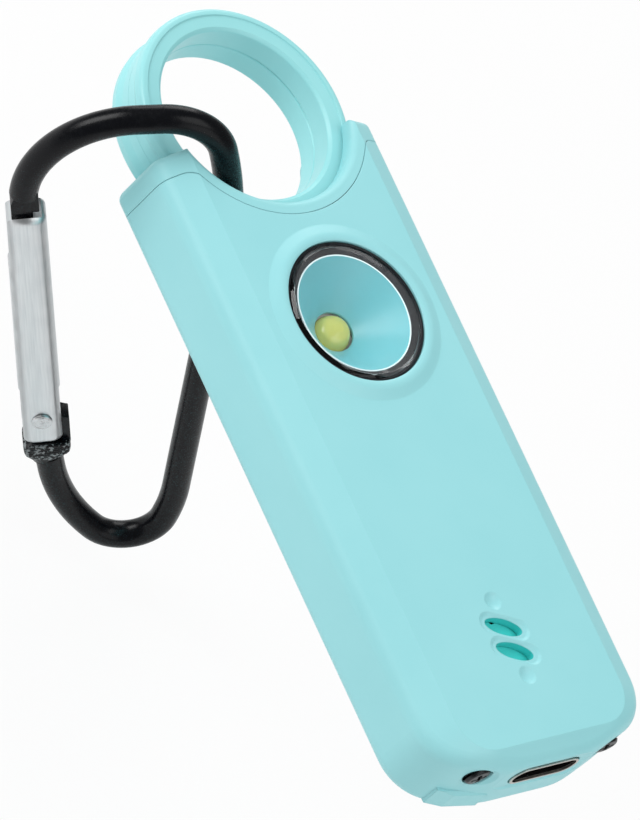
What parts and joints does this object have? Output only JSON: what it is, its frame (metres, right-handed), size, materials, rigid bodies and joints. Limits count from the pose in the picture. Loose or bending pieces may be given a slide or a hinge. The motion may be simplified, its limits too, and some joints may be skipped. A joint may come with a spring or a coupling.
{
  "type": "personal safety alarm",
  "caption": "Slim rounded pocket alarm with a pull-out finger ring, a lamp behind a round lens, a sound outlet and a wire carabiner.",
  "frame": {"origin": "on the flat back face of the case, 37.5 mm below the tips of the horns and halfway across", "axes": "+X across the case, +Y along it towards the pull ring, +Z out of its front face"},
  "size_m": [0.0396, 0.091, 0.0668],
  "materials": {
    "aqua_shell": "satin, soft touch",
    "aqua_core": "satin",
    "aqua_ring": "satin",
    "clear_window": "polished clear plastic",
    "black_gasket": "matt",
    "aqua_cup": "gloss",
    "teal_sounder": "moulded",
    "white_ceramic": "matt",
    "yellow_phosphor": "gloss",
    "black_screw": "black zinc",
    "steel": "plain",
    "port_steel": "stamped",
    "black_plastic": "matt",
    "green_board": "solder mask",
    "silver_pouch": "foil",
    "grey_foam": "foam",
    "red_lead": "insulated",
    "brass_plate": "plain",
    "magnet_plate": "nickel",
    "ferrite": "sintered",
    "copper": "enamelled wire",
    "black_wire": "black anodised",
    "silver_gate": "satin",
    "silver_rivet": "pressed"
  },
  "bodies": {
    "case": {"outer_sleeve": "aqua_shell", "core_chassis": "aqua_core", "catch_spring": "steel", "lens_window": "clear_window", "lens_gasket": "black_gasket", "reflector_cup": "aqua_cup", "lamp_base": "white_ceramic", "lamp_dome": "yellow_phosphor", "main_board": "green_board", "board_screws": "steel", "end_screws": "black_screw", "port_shell": "port_steel", "port_tongue": "black_plastic", "battery_cell": "silver_pouch", "cell_pad": "grey_foam", "battery_leads": "red_lead", "sound_cup": "teal_sounder", "sounder_plate": "brass_plate", "sounder_ceramic": "white_ceramic", "sounder_leads": "red_lead", "controller_chip": "black_plastic", "charge_chip": "black_plastic", "field_sensor": "black_plastic", "coil_core": "ferrite", "coil_winding": "copper"},
    "pull_ring": {"ring_front": "aqua_ring", "ring_rear": "aqua_ring", "ring_tongue": "aqua_ring", "tongue_magnet": "magnet_plate"},
    "carabiner": {"carabiner_frame": "black_wire", "gate_rivet": "silver_rivet"},
    "gate": {"gate_channel": "silver_gate", "gate_spring": "steel"}
  },
  "joints": [
    {"name": "ring_pull", "type": "slide", "parent": "case", "child": "pull_ring", "axis": [0, 1, 0], "range_m": [0, 0.016]},
    {"name": "carabiner_swing", "type": "hinge", "parent": "pull_ring", "child": "carabiner", "pos_m": [-0.00862, 0.04503, 0.00531], "axis": [0.444, 0.896, -0.009], "range_deg": [0, 150]},
    {"name": "gate_hinge", "type": "hinge", "parent": "carabiner", "child": "gate", "pos_m": [-0.00732, 0.02939, -0.03427], "axis": [0.4435, 0.8855, -0.1389], "range_deg": [0, 28], "stiffness_Nm_per_rad": 0.02, "springref_deg": -14.32}
  ]
}
